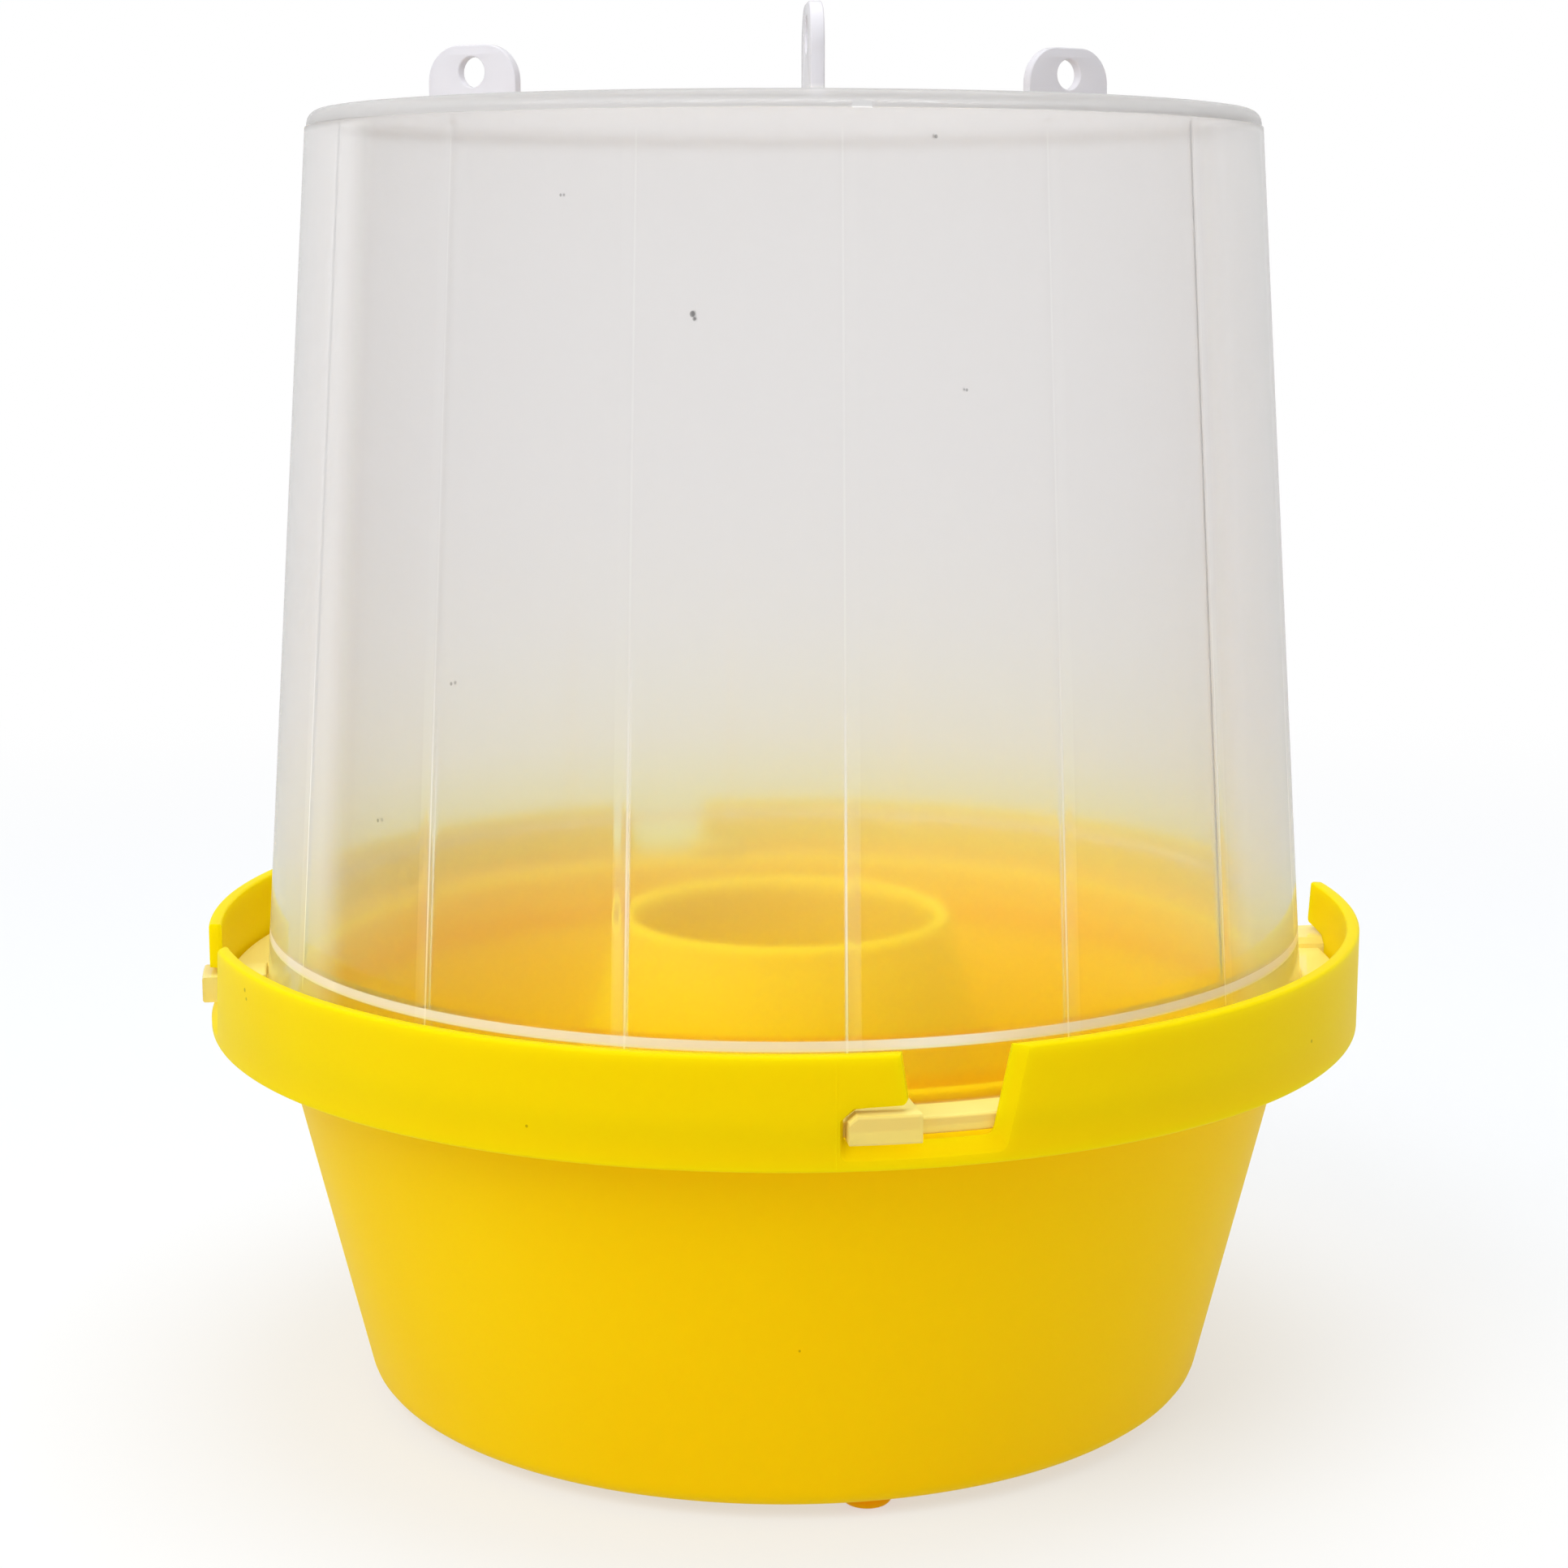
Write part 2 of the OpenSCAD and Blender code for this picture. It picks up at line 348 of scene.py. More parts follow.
def slot_cutter(index):
    """A solid in the shape of one bayonet slot, with a bevel at the collar's outside."""
    turn = SLOT_PITCH * index
    rings = [
        (COLLAR_R - CUT_INSIDE, 0),
        (COLLAR_R - BEVEL_DEPTH, 0),
        (COLLAR_R, BEVEL_REACH),
        (COLLAR_R + CUT_OUTSIDE, BEVEL_REACH),
    ]
    bm = bmesh.new()
    loops = []
    for r, reach in rings:
        loops.append([bm.verts.new(on_circle(r, a + turn, z)) for a, z in slot_outline(reach)])
    count = len(loops[0])
    for inner, outer in zip(loops, loops[1:]):
        for k in range(count):
            m = (k + 1) % count
            bm.faces.new([inner[k], inner[m], outer[m], outer[k]])
    bm.faces.new(loops[0])
    bm.faces.new(loops[-1])
    return mesh_object("slot_cutter", bm)


def foot_stub(index):
    """A short round foot with a rounded edge, which reaches a little into the bowl's floor."""
    outline = rounded([
        (0, -FOOT_H, 0),
        (FOOT_R, -FOOT_H, FOOT_FILLET),
        (FOOT_R, FOOT_SUNK, 0),
        (0, FOOT_SUNK, 0),
    ])
    foot = revolve("foot", outline, [10 * k for k in range(36)])
    centre = on_circle(FOOT_CIRCLE_R, FOOT_A + 360 / FOOT_COUNT * index, 0)
    foot.data.transform(Matrix.Translation((centre.x, centre.y, 0)))
    return foot


def make_base():
    base = base_body()
    for index in range(SLOT_COUNT):
        boolean(base, slot_cutter(index), "DIFFERENCE")
    for index in range(FOOT_COUNT):
        boolean(base, foot_stub(index), "UNION")
    weld(base)
    smooth_by_angle(base, BASE_SHARP)
    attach(base, "base")
    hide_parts("base_bowl", "entrance_funnel", "locking_collar", "feet")
    return base


# ---- lid: dome, ribs, flange, lugs and ears in one moulding ----

LID_STEP = 1.0                        # degrees between the lid's columns of faces
RIB_DEPTH = 0.08                      # shallower than the CAD model's, which bends light more
RIB_SLOPE, LUG_SLOPE = 0.3, 0.12      # degrees over which the side of a rib or lug slopes
LUG_CORNER_LOW, LUG_CORNER_HIGH = -0.4, 0.8  # degrees over which a lug's top rises at one end
EDGE_H, EDGE_STEP = 187.6, 0.25       # a small step round the lid's top corner
FLOW_LOW_A, FLOW_HIGH_A = 7.45, 8.85  # a shallow mark that runs down from the lid's top
FLOW_START, FLOW_FULL, FLOW_DEPTH = 163.0, 165.0, 0.1  # it deepens between these heights
RIB_START, RIB_FULL = SKIRT_TOP + 1, SKIRT_TOP + 3     # and the ribs rise between these
EAR_EDGE, EAR_SUNK, EAR_STEPS = 0.3, 0.8, 28  # softened edge, depth in the lid, points of a hole
CAD_GAP = 0.01                        # keeps the ears' tops just inside the CAD's box


def rib_height(a):
    """How much of a rib there is at angle a, from 0 to 1."""
    offset = (a - RIB_A + RIB_PITCH / 2) % RIB_PITCH - RIB_PITCH / 2
    return bump(offset, -RIB_HALF + RIB_SLOPE, RIB_HALF - RIB_SLOPE, RIB_SLOPE)


def lug_height(a):
    """How much of a lug there is at angle a, from 0 to 1."""
    return bump(a % SLOT_PITCH, LUG_A + LUG_SLOPE, LUG_A + LUG_SPAN - LUG_SLOPE, LUG_SLOPE)


def lid_angles():
    """Even steps round the lid, with the edges of every rib and lug put in."""
    angles = {round(LID_STEP * k, 4) for k in range(round(360 / LID_STEP))}
    for k in range(RIB_COUNT):
        middle = RIB_A + RIB_PITCH * k
        for edge in (-RIB_HALF, -RIB_HALF + RIB_SLOPE, RIB_HALF - RIB_SLOPE, RIB_HALF):
            angles.add(round((middle + edge) % 360, 4))
    for k in range(SLOT_COUNT):
        start = LUG_A + SLOT_PITCH * k
        for edge in (0, LUG_SLOPE, LUG_CORNER_HIGH, LUG_SPAN - LUG_SLOPE, LUG_SPAN):
            angles.add(round(start + edge, 4))
    for edge in (FLOW_LOW_A - RIB_SLOPE, FLOW_LOW_A, FLOW_HIGH_A, FLOW_HIGH_A + RIB_SLOPE):
        angles.add(round(edge, 4))
    return sorted(angles)


def lid_warp(r, z, a):
    """Moves a point of the lid's outline: in at a rib, out at the flow mark, and out and up at
    a lug."""
    inside = r < lid_out(z) - 0.5 * LID_WALL
    if inside and SKIRT_TOP + 0.5 < z < LID_TOP - LID_CORNER_R:
        rib = rib_height(a) * ramp(z, RIB_START, RIB_FULL)
        flow = bump(a, FLOW_LOW_A, FLOW_HIGH_A, RIB_SLOPE) * ramp(z, FLOW_START, FLOW_FULL)
        return r - RIB_DEPTH * rib + FLOW_DEPTH * flow, z
    lug = lug_height(a)
    if lug > 0 and FLANGE_LOW - 0.1 < z < FLANGE_TOP + 0.1 and r > lid_out(z) + 0.01:
        if z > (FLANGE_LOW + FLANGE_TOP) / 2:
            corner = ramp(a % SLOT_PITCH, LUG_A + LUG_CORNER_LOW, LUG_A + LUG_CORNER_HIGH)
            z += (LUG_TOP - FLANGE_TOP) * lug * corner
        if r > (FLANGE_R + LID_R) / 2:
            r += (LUG_R - FLANGE_R) * lug
    return r, z


def lid_body():
    step_top = SKIRT_TOP + 2
    under_top = LID_TOP - LID_WALL
    outline = held(rounded([
        (0, LID_TOP, 0),
        (lid_out(LID_TOP) - EDGE_STEP, LID_TOP, 2.0),
        (lid_out(EDGE_H) - EDGE_STEP, EDGE_H, 0),
        (lid_out(EDGE_H), EDGE_H, 0.1),
        (lid_out(FLANGE_TOP), FLANGE_TOP, 0.5),
        (FLANGE_R, FLANGE_TOP, 0.4),
        (FLANGE_R, FLANGE_LOW, 0.4),
        (lid_out(FLANGE_LOW), FLANGE_LOW, 0.3),
        (lid_out(LID_LOW), LID_LOW, 0.5),
        (SKIRT_R, LID_LOW, 0.5),
        (SKIRT_R, SKIRT_TOP, 0.15),
        (lid_in(step_top), step_top, 0.4),
        (lid_in(step_top + 3), step_top + 3, 0),
        (lid_in(FLOW_START), FLOW_START, 0),
        (lid_in(FLOW_FULL), FLOW_FULL, 0),
        (lid_in(LID_TOP - LID_CORNER_R - 0.5), LID_TOP - LID_CORNER_R - 0.5, 0),
        (lid_in(under_top), under_top, 1.4),
        (0, under_top, 0),
    ]))
    return revolve("lid", outline, lid_angles(), lid_warp)


def ear_outlines():
    """The rim of an ear with its two round corners, and its hole, as (across, up)."""
    height = EAR_TOP - LID_TOP - CAD_GAP
    rim = rounded([
        (-EAR_W / 2, -EAR_SUNK, 0),
        (EAR_W / 2, -EAR_SUNK, 0),
        (EAR_W / 2, height, EAR_CORNER_R),
        (-EAR_W / 2, height, EAR_CORNER_R),
    ], EAR_STEPS // 2)
    hole = []
    for k in range(EAR_STEPS):
        t = -2 * math.pi * k / EAR_STEPS
        hole.append((EAR_HOLE_R * math.cos(t), EAR_HOLE_H + EAR_HOLE_R * math.sin(t)))
    return rim, hole


def ear_plate(index):
    """An upright plate in line with the radius, with round corners, a hole and softened edges."""
    curve = bpy.data.curves.new("ear", "CURVE")
    curve.dimensions = "2D"
    curve.fill_mode = "BOTH"
    curve.extrude = (EAR_T / 2 - EAR_EDGE) * MM
    curve.bevel_depth = EAR_EDGE * MM
    curve.bevel_resolution = 2
    curve.offset = -EAR_EDGE * MM
    for points in ear_outlines():
        spline = curve.splines.new("POLY")
        spline.points.add(len(points) - 1)
        spline.use_cyclic_u = True
        for point, (x, y) in zip(spline.points, points):
            point.co = (x * MM, y * MM, 0, 1)
    source = bpy.data.objects.new("ear", curve)
    bpy.context.scene.collection.objects.link(source)
    bpy.context.view_layer.update()
    bm = bmesh.new()
    bm.from_mesh(source.to_mesh())
    bpy.data.objects.remove(source)
    angle = EAR_A + 360 / EAR_COUNT * index
    bm.transform(
        Matrix.Translation((0, 0, (LID_TOP + FOOT_H) * MM))
        @ Matrix.Rotation(math.radians(angle - 90), 4, "Z")
        @ Matrix.Translation((EAR_CIRCLE_R * MM, 0, 0))
        @ Matrix.Rotation(math.pi / 2, 4, "X")
    )
    return mesh_object("ear", bm)


def make_lid():
    lid = lid_body()
    for index in range(EAR_COUNT):
        boolean(lid, ear_plate(index), "UNION")
    smooth_by_angle(lid, LID_SHARP)
    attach(lid, "lid")
    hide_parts("lid_dome", "lid_flange", "locking_lugs", "hanging_ears")
    return lid


# ---- materials ----


def new_material(name):
    """A material with nodes, and its Principled shader."""
    material = bpy.data.materials.new(name)
    material.use_nodes = True
    shader = material.node_tree.nodes["Principled BSDF"]
    return material, shader


def add(nodes, kind, **values):
    """A new node. Values named after its inputs set those, and others set its properties."""
    node = nodes.new(kind)
    for key, value in values.items():
        label = key.replace("_", " ").title()
        if label in node.inputs:
            node.inputs[label].default_value = value
        else:
            setattr(node, key, value)
    return node


def math_node(tree, operation, *values):
    """A Math node's output. Each value is a number or a socket."""
    node = tree.nodes.new("ShaderNodeMath")
    node.operation = operation
    for socket, value in zip(node.inputs, values):
        if isinstance(value, (int, float)):
            socket.default_value = value
        else:
            tree.links.new(value, socket)
    return node.outputs[0]


def both_masks(tree, one, other):
    """1 only where both masks are 1."""
    return math_node(tree, "MULTIPLY", one, other)


def eased(tree, value, start, end):
    """0 at one value of a socket and 1 at the other, with an S-shaped rise between."""
    node = add(tree.nodes, "ShaderNodeMapRange", interpolation_type="SMOOTHSTEP")
    tree.links.new(value, node.inputs["Value"])
    node.inputs["From Min"].default_value = start
    node.inputs["From Max"].default_value = end
    return node.outputs["Result"]


def above(tree, value, low, soft):
    """1 where a socket's value is over low, fading to 0 within soft below it."""
    return eased(tree, value, low - soft, low)


def below(tree, value, high, soft):
    """1 where a socket's value is under high, fading to 0 within soft above it."""
    return eased(tree, value, high + soft, high)


def band(tree, value, low, high, soft):
    """1 where a socket's value is between low and high, fading to 0 within soft outside them."""
    return both_masks(tree, above(tree, value, low, soft), below(tree, value, high, soft))


def places(tree):
    """Sockets for the object's own position, and for the angle in degrees, the radius and the
    height above the bowl's underside, both in millimetres."""
    place = add(tree.nodes, "ShaderNodeTexCoord").outputs["Object"]
    parts = add(tree.nodes, "ShaderNodeSeparateXYZ")
    tree.links.new(place, parts.inputs["Vector"])
    x, y, z = parts.outputs
    angle = math_node(tree, "ARCTAN2", x, math_node(tree, "MULTIPLY", y, -1.0))
    degrees = math_node(tree, "MULTIPLY", angle, 180 / math.pi)
    squares = [math_node(tree, "MULTIPLY", part, part) for part in (x, y)]
    away = math_node(tree, "SQRT", math_node(tree, "ADD", *squares))
    radius = math_node(tree, "MULTIPLY", away, 1 / MM)
    level = math_node(tree, "MULTIPLY_ADD", z, 1 / MM, -FOOT_H)
    return place, degrees, radius, level


def colour_by_level(tree, level, stops):
    """The colours of (height, colour) stops, blended over the height."""
    low, high = stops[0][0], stops[-1][0]
    share = add(tree.nodes, "ShaderNodeMapRange")
    tree.links.new(level, share.inputs["Value"])
    share.inputs["From Min"].default_value = low
    share.inputs["From Max"].default_value = high
    ramp_node = add(tree.nodes, "ShaderNodeValToRGB")
    ends = ramp_node.color_ramp.elements
    while len(ends) < len(stops):
        ends.new(0.5)
    for end, (height, colour) in zip(ends, stops):
        end.position = (height - low) / (high - low)
        end.color = colour
    tree.links.new(share.outputs["Result"], ramp_node.inputs["Fac"])
    return ramp_node.outputs["Color"]


def darkened(tree, colour, strength):
    """A colour with its brightness multiplied by a socket."""
    shade = add(tree.nodes, "ShaderNodeHueSaturation")
    tree.links.new(strength, shade.inputs["Value"])
    tree.links.new(colour, shade.inputs["Color"])
    return shade.outputs["Color"]


# painted shade: a little more orange on the feet under the bowl, and on the bowl below the collar's
# overhang, which leaves the collar more lemon than the bowl
FOOT_COLOUR_WITH_PAINTED_SHADE = (0.93, 0.36, 0.001, 1)
BOWL_COLOUR_WITH_PAINTED_SHADE = (0.93, 0.575, 0.0008, 1)
COLLAR_COLOUR = (0.93, 0.62, 0.0008, 1)
BASE_COLOURS_WITH_PAINTED_SHADE = [
    (-0.396, FOOT_COLOUR_WITH_PAINTED_SHADE),
    (-0.032, BOWL_COLOUR_WITH_PAINTED_SHADE),
    (54.13, BOWL_COLOUR_WITH_PAINTED_SHADE),
    (56.32, COLLAR_COLOUR),
]
DRIFT_SCALE, DRIFT_SHARE = 28.0, 0.06  # slow changes of brightness and gloss over the plastic
PEEL_SCALE = 1400.0                    # fine orange peel
BASE_ROUGHNESS = (0.36, 0.5)           # of its glossiest and its dullest patches
SPECK_SOFT = 0.1                       # how far a speck's edge fades, in millimetres
BASE_SPECK_SHADE, LID_SPECK_SHADE = 0.4, 0.7  # how much darker a speck is

# small dark specks in the plastic: angle, height and radius
BASE_SPECKS = [
    (1.7, 25.4, 0.15),
    (-59.6, 68.4, 0.25),
    (-59.3, 67.2, 0.2),
    (57.1, 61.9, 0.2),
    (-22.1, 60.0, 0.15),
]
LID_SPECKS = [
    (-9.2, 162.3, 0.35),
    (-9.0, 161.7, 0.2),
    (-35.5, 114.2, 0.2),
    (-23.5, 177.0, 0.15),
    (15.7, 184.1, 0.2),
    (18.6, 152.8, 0.15),
    (-45.7, 94.4, 0.2),
]


def specks_mask(tree, degrees, level, specks):
    """1 in each speck and 0 elsewhere."""
    flat = add(tree.nodes, "ShaderNodeCombineXYZ")
    tree.links.new(math_node(tree, "MULTIPLY", degrees, PER_DEGREE), flat.inputs["X"])
    tree.links.new(level, flat.inputs["Y"])
    marks = 0.0
    for a, height, radius in specks:
        away = add(tree.nodes, "ShaderNodeVectorMath", operation="DISTANCE")
        tree.links.new(flat.outputs["Vector"], away.inputs[0])
        away.inputs[1].default_value = (a * PER_DEGREE, height, 0)
        spot = below(tree, away.outputs["Value"], radius, SPECK_SOFT)
        marks = math_node(tree, "ADD", marks, spot)
    return marks


def yellow_plastic():
    """Satin moulded polypropylene: a faint drift of colour, fine orange peel and a patchy gloss."""
    material, shader = new_material("yellow_plastic")
    tree = material.node_tree
    place, degrees, _, level = places(tree)

    drift = add(tree.nodes, "ShaderNodeTexNoise", scale=DRIFT_SCALE, detail=2.0)
    tree.links.new(place, drift.inputs["Vector"])
    patches = drift.outputs["Fac"]
    strength = math_node(tree, "MULTIPLY_ADD", patches, DRIFT_SHARE, 1 - DRIFT_SHARE / 2)
    specks = specks_mask(tree, degrees, level, BASE_SPECKS)
    strength = math_node(tree, "MULTIPLY_ADD", specks, -BASE_SPECK_SHADE, strength)
    # the colours by height hold painted shade: more orange on the feet and on the bowl below the
    # collar
    colour = darkened(tree, colour_by_level(tree, level, BASE_COLOURS_WITH_PAINTED_SHADE), strength)
    tree.links.new(colour, shader.inputs["Base Color"])

    peel = add(tree.nodes, "ShaderNodeTexNoise", scale=PEEL_SCALE, detail=2.0)
    tree.links.new(place, peel.inputs["Vector"])
    relief = add(tree.nodes, "ShaderNodeBump", strength=0.08, distance=0.2 * MM)
    tree.links.new(peel.outputs["Fac"], relief.inputs["Height"])
    tree.links.new(relief.outputs["Normal"], shader.inputs["Normal"])

    gloss = add(tree.nodes, "ShaderNodeMapRange")
    gloss.inputs["To Min"].default_value, gloss.inputs["To Max"].default_value = BASE_ROUGHNESS
    tree.links.new(patches, gloss.inputs["Value"])
    tree.links.new(gloss.outputs["Result"], shader.inputs["Roughness"])
    shader.inputs["IOR"].default_value = 1.3
    shader.inputs["Specular IOR Level"].default_value = 0.1
    shader.inputs["Specular Tint"].default_value = (1.0, 0.85, 0.35, 1)
    shader.inputs["Subsurface Weight"].default_value = 0.8
    shader.inputs["Subsurface Radius"].default_value = (1.0, 0.9, 0.05)
    shader.inputs["Subsurface Scale"].default_value = 6 * MM
    return material


CLEAR_HAZE = 0.004    # share of milky colour in the thin side wall, seen straight on
LIMB_HAZE = 0.40      # how much more there is where the wall is seen edge on
RIB_HAZE = 0.05       # how much more there is along a rib
RIB_EDGE_HAZE = 0.45  # and along its sharper edge
CORNER_HAZE = 0.5     # and in the corner round the lid's top
CORNER_SHADE = 0.28   # painted shade: how much darker that corner is
STEP_HAZE = 0.85      # and along the step where the skirt begins
FLANGE_HAZE = 0.65    # and in the flange and the lugs
EAR_HAZE = 0.8        # and in the ears
GATE_HAZE = 0.9       # and on the small mark at the lid's top edge
CLOUD_SCALE = 35.0    # of the faint clouds in the thin wall
LIMB_START, LIMB_SOFT = 0.6, 0.12     # where the wall counts as seen edge on
RIB_LINE = (-0.05, 0.1)               # a rib's sharper edge, in degrees from the rib's side
RIB_SOFT, RIB_LINE_SOFT = 0.1, 0.06   # degrees over which a rib and its sharper edge fade
RIB_CLEAR_H, RIB_FADE_H = 20, 35      # how high above the skirt the ribs stay clear, and fade
RIB_HIGH_SHARE = 0.07                 # what is left of them higher up
RIB_TOP_GAP, RIB_TOP_FADE = 4, 2      # how far below the lid's top edge they end
GATE_LOW_A, GATE_HIGH_A, GATE_H = 7.0, 9.0, 0.7  # the small mark's sides and height
STEP_LOW, STEP_H = 0.3, 1.2           # where the step's haze starts above the skirt, and its height

# the smooth and the frosted shader's roughness, and how much of the look is frosted
SMOOTH_ROUGHNESS, FROST_ROUGHNESS, FROST_SHARE = 0.09, 0.50, 0.32

# painted light: a yellow glow from the base near it is painted on the lower wall, the flange and
# the lugs, a painted highlight whitens the band at the step where the skirt begins, and painted
# shade makes the ears a little greyer
LID_TINTS_AND_PAINTED_LIGHT = [
    (63.5, (0.96, 0.82, 0.25, 1)),
    (66.0, (0.93, 1.0, 0.50, 1)),
    (69.0, (0.93, 0.98, 0.58, 1)),
    (69.4, (1.0, 0.99, 0.84, 1)),
    (70.6, (1.0, 0.99, 0.84, 1)),
    (71.0, (0.93, 0.97, 0.60, 1)),
    (85.0, (0.97, 0.965, 0.88, 1)),
    (105.0, (0.98, 0.968, 0.95, 1)),
    (135.0, (0.98, 0.968, 0.965, 1)),
    (190.2, (0.98, 0.968, 0.965, 1)),
    (191.0, (0.84, 0.83, 0.87, 1)),
]


def rib_masks(tree, degrees, level):
    """Masks of the ribs and of the sharper edge of each, which is the one nearer the front. Both
    are strongest low on the side wall, where the yellow behind shows them up."""
    # two full turns are added, because MODULO needs a value above zero
    offset = math_node(tree, "ADD", degrees, 720 - RIB_A + RIB_PITCH / 2)
    offset = math_node(tree, "MODULO", offset, RIB_PITCH)
    offset = math_node(tree, "SUBTRACT", offset, RIB_PITCH / 2)
    away = math_node(tree, "MULTIPLY", offset, math_node(tree, "SIGN", degrees))
    rib = band(tree, offset, -RIB_HALF, RIB_HALF, RIB_SOFT)
    line_low, line_high = [-RIB_HALF + edge for edge in RIB_LINE]
    edge = band(tree, away, line_low, line_high, RIB_LINE_SOFT)
    low = band(tree, level, SKIRT_TOP, SKIRT_TOP + RIB_CLEAR_H, RIB_FADE_H)
    wall = band(tree, level, SKIRT_TOP, EDGE_H - RIB_TOP_GAP, RIB_TOP_FADE)
    share = math_node(tree, "MULTIPLY_ADD", low, 1 - RIB_HIGH_SHARE, RIB_HIGH_SHARE)
    side = both_masks(tree, wall, share)
    return [both_masks(tree, mask, side) for mask in (rib, edge)]


def haze_share(tree, place, degrees, radius, level, corner):
    """How much of the lid's surface is milky colour: more where it is thick or seen edge on."""
    cloud = add(tree.nodes, "ShaderNodeTexNoise", scale=CLOUD_SCALE, detail=3.0)
    tree.links.new(place, cloud.inputs["Vector"])
    haze = math_node(tree, "MULTIPLY", cloud.outputs["Fac"], 2 * CLEAR_HAZE)
    edge_on = add(tree.nodes, "ShaderNodeLayerWeight", blend=0.5)
    limb = above(tree, edge_on.outputs["Facing"], LIMB_START, LIMB_SOFT)
    below_edge = below(tree, level, EDGE_H - 1, 1)
    rib, rib_edge = rib_masks(tree, degrees, level)
    step_low = SKIRT_TOP + STEP_LOW
    step = band(tree, level, step_low, step_low + STEP_H, 0.2)
    outside = above(tree, radius, LID_R - 0.5, 0.2)
    gate_side = band(tree, degrees, GATE_LOW_A, GATE_HIGH_A, 0.1)
    gate_rise = band(tree, level, EDGE_H, EDGE_H + GATE_H, 0.1)
    amounts = [
        (both_masks(tree, limb, below_edge), LIMB_HAZE),
        (rib, RIB_HAZE),
        (rib_edge, RIB_EDGE_HAZE),
        (corner, CORNER_HAZE),
        (both_masks(tree, step, outside), STEP_HAZE),
        (above(tree, radius, LID_R + 1.5, 1), FLANGE_HAZE),
        (above(tree, level, LID_TOP + 0.5, 0.5), EAR_HAZE),
        (both_masks(tree, gate_side, gate_rise), GATE_HAZE),
    ]
    for mask, amount in amounts:
        haze = math_node(tree, "MULTIPLY_ADD", mask, amount, haze)
    return math_node(tree, "MINIMUM", haze, 1.0)


def milky_plastic():
    """Natural polypropylene: see-through, slightly frosted, and milkier where it is thicker."""
    material, smooth = new_material("milky_plastic")
    tree = material.node_tree
    place, degrees, radius, level = places(tree)
    top_edge = above(tree, level, EDGE_H + 0.2, 0.2)
    corner = both_masks(tree, top_edge, above(tree, radius, LID_TOP_R - 2, 1))
    haze = haze_share(tree, place, degrees, radius, level, corner)
    clear = math_node(tree, "SUBTRACT", 1.0, haze)
    # painted shade darkens the corner round the lid's top
    strength = math_node(tree, "MULTIPLY_ADD", corner, -CORNER_SHADE, 1.0)
    specks = specks_mask(tree, degrees, level, LID_SPECKS)
    strength = math_node(tree, "MULTIPLY_ADD", specks, -LID_SPECK_SHADE, strength)
    # the tints by height carry a painted yellow glow from the base, a painted highlight at the step
    # and painted shade on the ears
    colour = darkened(tree, colour_by_level(tree, level, LID_TINTS_AND_PAINTED_LIGHT), strength)

    # a smooth and a frosted share: edges stay readable, and far things wash out
    frosted = add(tree.nodes, "ShaderNodeBsdfPrincipled")
    for shader, roughness in ((smooth, SMOOTH_ROUGHNESS), (frosted, FROST_ROUGHNESS)):
        tree.links.new(clear, shader.inputs["Transmission Weight"])
        tree.links.new(colour, shader.inputs["Base Color"])
        shader.inputs["Roughness"].default_value = roughness
        shader.inputs["IOR"].default_value = 1.49
        shader.inputs["Specular Tint"].default_value = (0.05, 0.05, 0.05, 1)
    both = add(tree.nodes, "ShaderNodeMixShader")
    both.inputs[0].default_value = FROST_SHARE
    tree.links.new(smooth.outputs[0], both.inputs[1])
    tree.links.new(frosted.outputs[0], both.inputs[2])

    # lamps shine straight through the wall, so that they light the inside of the trap
    rays = add(tree.nodes, "ShaderNodeLightPath")
    through = add(tree.nodes, "ShaderNodeBsdfTransparent", color=(0.97, 0.965, 0.96, 1))
    mix = add(tree.nodes, "ShaderNodeMixShader")
    tree.links.new(rays.outputs["Is Shadow Ray"], mix.inputs[0])
    tree.links.new(both.outputs[0], mix.inputs[1])
    tree.links.new(through.outputs[0], mix.inputs[2])
    tree.links.new(mix.outputs[0], tree.nodes["Material Output"].inputs["Surface"])
    return material


# ---- stage, light and camera ----

BACKDROP = 1.0        # brightness of the background as the camera sees it
THROUGH_LID = 0.81    # as it shows through the lid
AMBIENT = 0.66        # and as a light on the trap
FLOOR_SHADE = 0.45    # how much of the floor's look is its own shading, near the trap
FLOOR_R, FLOOR_NEAR, FLOOR_FADE = 6.0, 0.25, 0.45  # metres: its rim, and where that shading fades
CAMERA_PLACE, CAMERA_DOWN = (0, -0.43468, 0.17164), 10.44  # metres, and degrees below level
LENS, SENSOR = 66.0, 36.0              # millimetres
LAMPS = [                              # name, place in metres, size in metres, power in watts
    ("key", (-0.55, -0.65, 0.75), 0.7, 4.6),
    ("top", (0.1, 0.1, 1.1), 0.9, 4.2),
]


def backdrop_strength(tree):
    """A socket with the background's strength, by how a ray comes to meet it."""
    rays = add(tree.nodes, "ShaderNodeLightPath")
    seen, passed = rays.outputs["Is Camera Ray"], rays.outputs["Is Transmission Ray"]
    strength = math_node(tree, "MULTIPLY_ADD", seen, BACKDROP - AMBIENT, AMBIENT)
    return math_node(tree, "MULTIPLY_ADD", passed, THROUGH_LID - AMBIENT, strength)


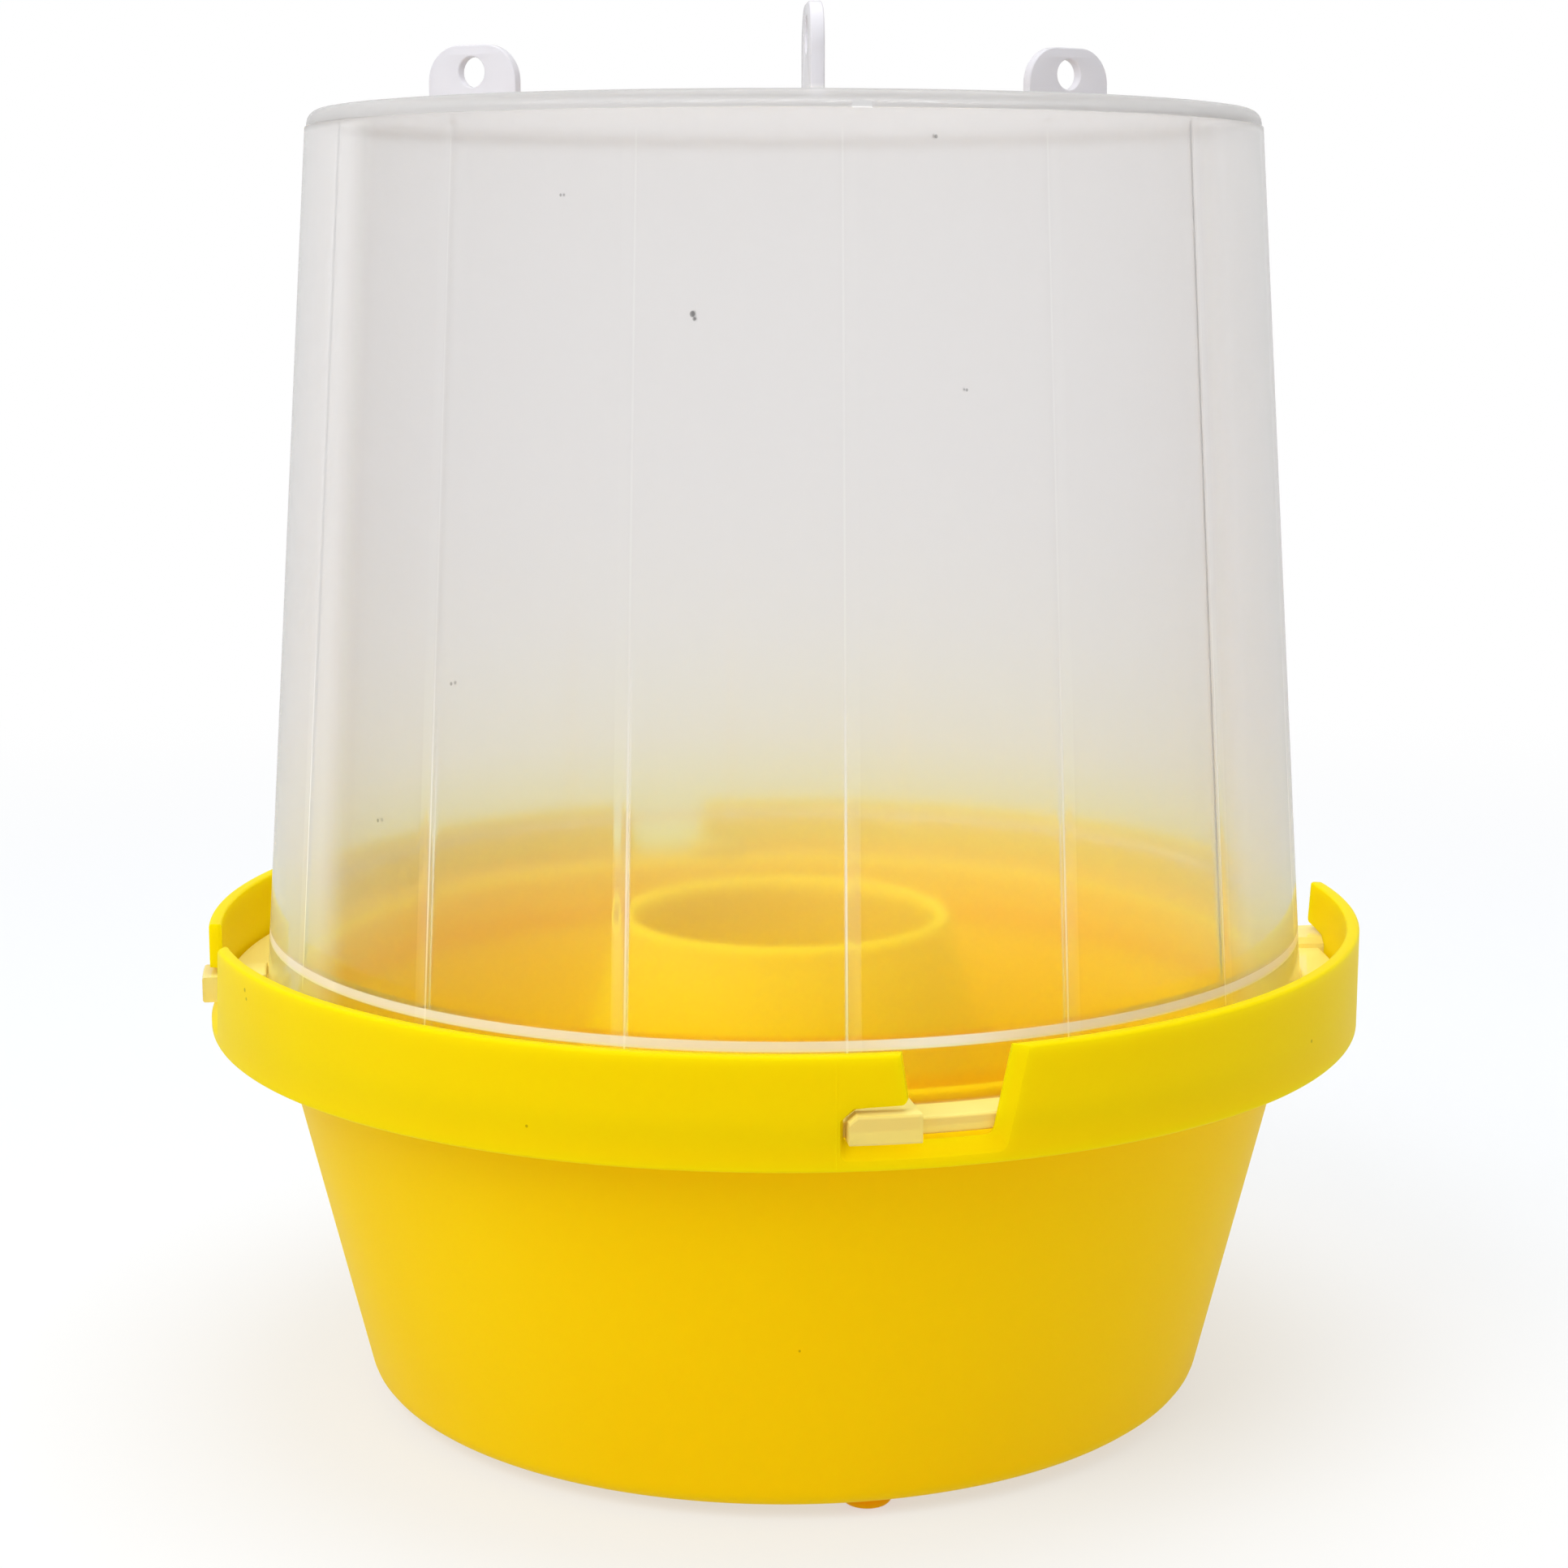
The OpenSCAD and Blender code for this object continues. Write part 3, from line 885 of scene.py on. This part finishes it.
def make_floor():
    """A large pale round floor, which fades into the background well before its rim."""
    bm = bmesh.new()
    bmesh.ops.create_circle(bm, cap_ends=True, segments=96, radius=FLOOR_R)
    floor = mesh_object("floor", bm)
    material, shader = new_material("pale_floor")
    tree = material.node_tree
    shader.inputs["Base Color"].default_value = (0.86, 0.90, 0.95, 1)
    shader.inputs["Roughness"].default_value = 0.9
    shader.inputs["Specular IOR Level"].default_value = 0.0
    glow = add(tree.nodes, "ShaderNodeEmission")
    tree.links.new(backdrop_strength(tree), glow.inputs["Strength"])
    place = add(tree.nodes, "ShaderNodeTexCoord").outputs["Object"]
    away = add(tree.nodes, "ShaderNodeVectorMath", operation="LENGTH")
    tree.links.new(place, away.inputs[0])
    near = below(tree, away.outputs["Value"], FLOOR_NEAR, FLOOR_FADE)
    near = math_node(tree, "MULTIPLY", near, FLOOR_SHADE)
    mix = add(tree.nodes, "ShaderNodeMixShader")
    tree.links.new(near, mix.inputs[0])
    tree.links.new(glow.outputs[0], mix.inputs[1])
    tree.links.new(shader.outputs[0], mix.inputs[2])
    tree.links.new(mix.outputs[0], tree.nodes["Material Output"].inputs["Surface"])
    floor.data.materials.append(material)


def make_world():
    world = bpy.data.worlds.new("studio")
    world.use_nodes = True
    tree = world.node_tree
    tree.links.new(backdrop_strength(tree), tree.nodes["Background"].inputs["Strength"])
    tree.nodes["Background"].inputs["Color"].default_value = (1, 1, 1, 1)
    bpy.context.scene.world = world


def area_light(name, place, target, size, power):
    """A round soft lamp that faces a target."""
    data = bpy.data.lights.new(name, "AREA")
    data.shape = "DISK"
    data.size = size
    data.energy = power
    light = bpy.data.objects.new(name, data)
    light.location = place
    light.rotation_euler = (Vector(target) - Vector(place)).to_track_quat("-Z", "Y").to_euler()
    bpy.context.scene.collection.objects.link(light)


def make_camera():
    data = bpy.data.cameras.new("camera")
    data.lens = LENS
    data.sensor_width = SENSOR
    camera = bpy.data.objects.new("camera", data)
    camera.location = CAMERA_PLACE
    camera.rotation_euler = (math.radians(90 - CAMERA_DOWN), 0, 0)
    bpy.context.scene.collection.objects.link(camera)
    bpy.context.scene.camera = camera


def dress(obj, material):
    """Gives the whole object one material."""
    obj.data.materials.clear()
    obj.data.materials.append(material)


make_camera()
base = make_base()
lid = make_lid()
dress(base, yellow_plastic())
dress(lid, milky_plastic())
make_floor()
make_world()
for name, place, size, power in LAMPS:
    area_light(name, place, (cad_low + cad_high) / 2, size, power)
bpy.context.scene.view_settings.view_transform = "Standard"
